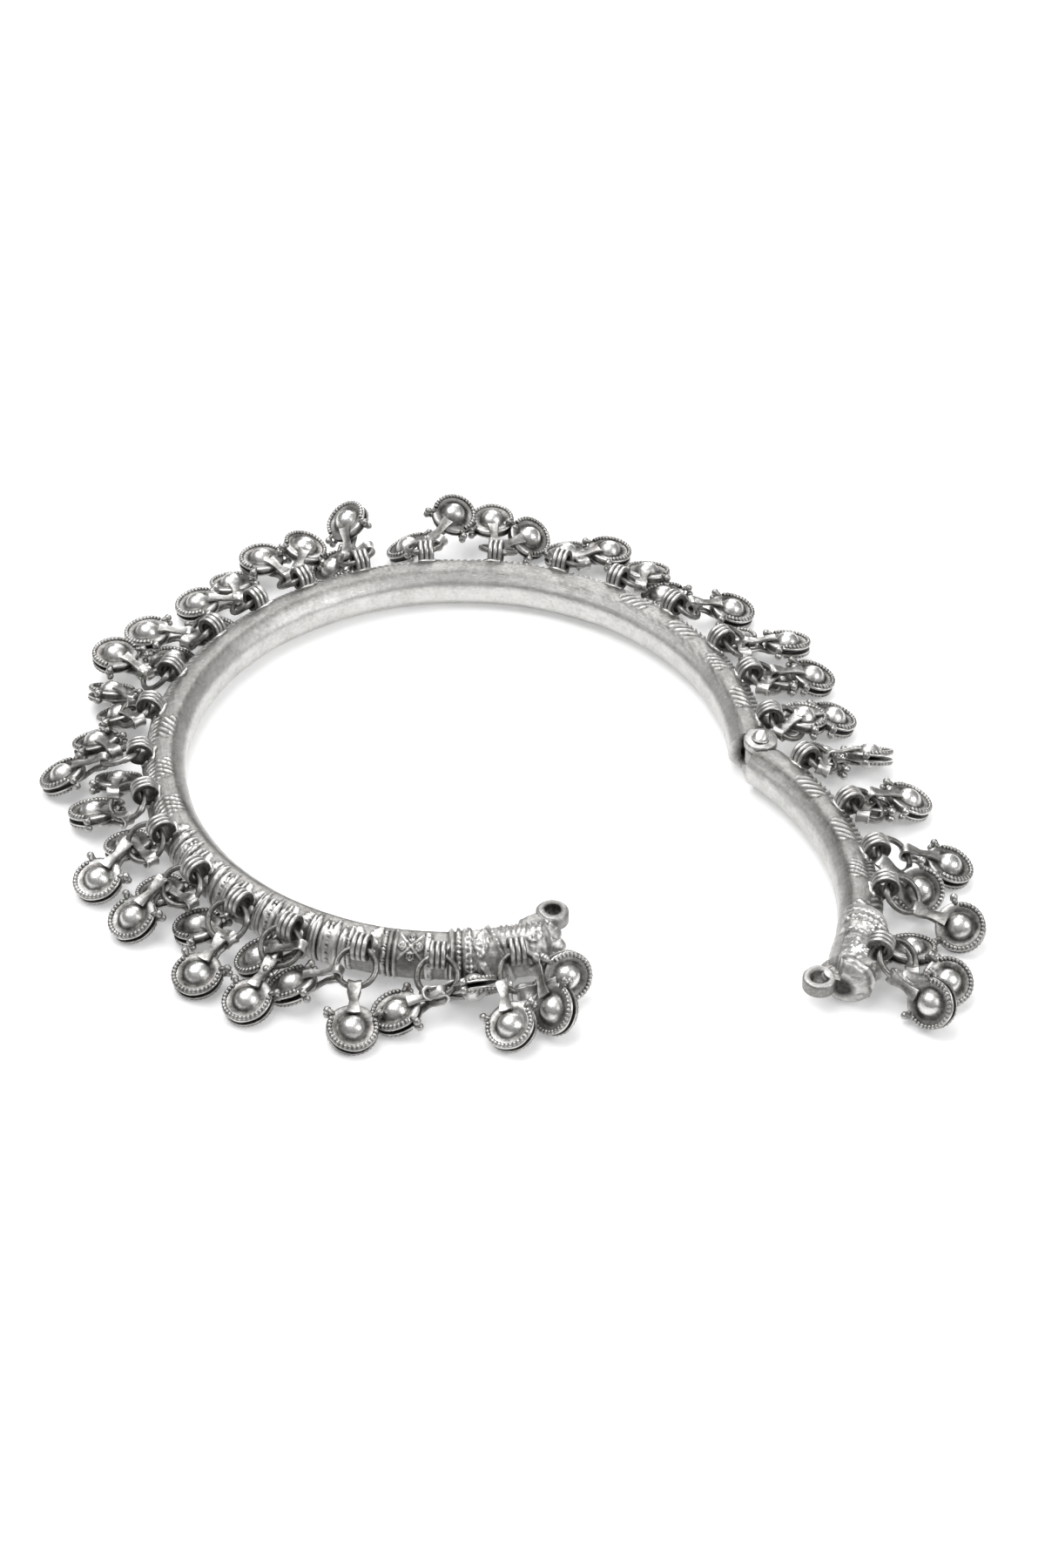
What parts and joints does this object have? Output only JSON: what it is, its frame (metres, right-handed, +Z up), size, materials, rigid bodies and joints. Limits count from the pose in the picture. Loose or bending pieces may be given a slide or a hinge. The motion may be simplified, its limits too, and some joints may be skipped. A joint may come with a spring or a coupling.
{
  "type": "hinged anklet with bells",
  "caption": "Hinged silver anklet: a hollow round-sided ring with a swinging gate, clasp lugs, and clusters of flat rattle bells hanging from jump rings",
  "frame": {"origin": "middle of the object's box at the surface that it lies on", "axes": "+Z up, out of the ring's flat; the hinge is on the +X side and the mouth opens to -Y; +X is the longest extent"},
  "size_m": [0.1686, 0.1504, 0.0116],
  "materials": {
    "aged_silver": "brushed, worn, darker in the hollows",
    "rubbed_silver": "rubbed bright",
    "bell_silver": "oxidised, rubbed bright on the high points"
  },
  "bodies": {
    "ring": {"main_ring": "aged_silver", "hinge_rivet": "rubbed_silver", "bell_cluster_01": "bell_silver", "bell_cluster_02": "bell_silver", "bell_cluster_03": "bell_silver", "bell_cluster_04": "bell_silver", "bell_cluster_05": "bell_silver", "bell_cluster_06": "bell_silver", "bell_cluster_07": "bell_silver", "bell_cluster_08": "bell_silver", "bell_cluster_09": "bell_silver", "bell_cluster_10": "bell_silver", "bell_cluster_11": "bell_silver", "bell_cluster_12": "bell_silver", "bell_cluster_13": "bell_silver", "bell_cluster_14": "bell_silver", "bell_cluster_15": "bell_silver", "bell_cluster_16": "bell_silver", "bell_cluster_17": "bell_silver", "bell_cluster_18": "bell_silver", "bell_cluster_19": "bell_silver", "bell_cluster_20": "bell_silver", "bell_cluster_21": "bell_silver", "bell_cluster_22": "bell_silver", "bell_cluster_23": "bell_silver"},
    "gate": {"gate": "aged_silver", "bell_cluster_24": "bell_silver", "bell_cluster_25": "bell_silver", "bell_cluster_26": "bell_silver", "bell_cluster_27": "bell_silver", "bell_cluster_28": "bell_silver"}
  },
  "joints": [
    {"name": "gate_hinge", "type": "hinge", "parent": "ring", "child": "gate", "pos_m": [0.04767, -0.00109, 0.0048], "axis": [0, 0, 1], "range_deg": [-46, 6]}
  ]
}
